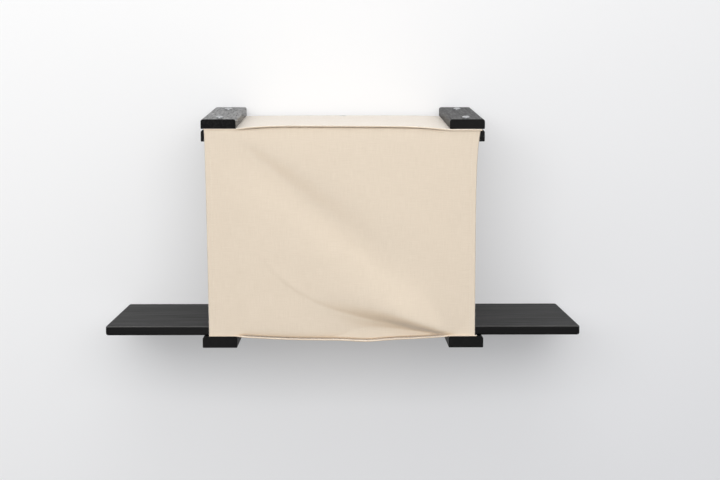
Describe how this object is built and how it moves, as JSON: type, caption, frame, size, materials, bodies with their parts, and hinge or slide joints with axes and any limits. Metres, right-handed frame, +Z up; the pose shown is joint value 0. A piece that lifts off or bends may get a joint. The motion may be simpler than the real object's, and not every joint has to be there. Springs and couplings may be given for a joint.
{
  "type": "cat wall bed",
  "caption": "Wall-fixed cat cubby: a canvas sling clamped between dark wooden arms, open at both sides, with a long wooden shelf plank lying in it.",
  "frame": {"origin": "on the wall plane, at the centre of the four lower wall holes", "axes": "+X to the right along the plank as seen from the room, +Y into the wall, +Z up"},
  "size_m": [0.784, 0.2852, 0.4021],
  "materials": {
    "stained_wood": "ebony stain, satin",
    "canvas": "natural cotton canvas",
    "bracket_steel": "black powder coat",
    "bolt_steel": "zinc plated",
    "screw_steel": "zinc plated",
    "insert_brass": "plain brass",
    "grommet_nickel": "nickel plated"
  },
  "bodies": {
    "root": {"back_hem_grommet": "grommet_nickel", "canvas_bottom_panel": "canvas", "canvas_front_panel": "canvas", "canvas_top_panel": "canvas", "left_bottom_arm": "stained_wood", "left_bottom_bracket": "bracket_steel", "left_bottom_bracket_screws": "screw_steel", "left_clamp_bar": "stained_wood", "left_front_arm_insert": "insert_brass", "left_front_clamp_bolt": "bolt_steel", "left_front_plank_bolt": "bolt_steel", "left_front_plank_insert": "insert_brass", "left_rear_arm_insert": "insert_brass", "left_rear_clamp_bolt": "bolt_steel", "left_rear_plank_bolt": "bolt_steel", "left_rear_plank_insert": "insert_brass", "left_top_arm": "stained_wood", "left_top_bracket": "bracket_steel", "left_top_bracket_screws": "screw_steel", "right_bottom_arm": "stained_wood", "right_bottom_bracket": "bracket_steel", "right_bottom_bracket_screws": "screw_steel", "right_clamp_bar": "stained_wood", "right_front_arm_insert": "insert_brass", "right_front_clamp_bolt": "bolt_steel", "right_front_plank_bolt": "bolt_steel", "right_front_plank_insert": "insert_brass", "right_rear_arm_insert": "insert_brass", "right_rear_clamp_bolt": "bolt_steel", "right_rear_plank_bolt": "bolt_steel", "right_rear_plank_insert": "insert_brass", "right_top_arm": "stained_wood", "right_top_bracket": "bracket_steel", "right_top_bracket_screws": "screw_steel", "shelf_plank": "stained_wood"}
  },
  "joints": []
}
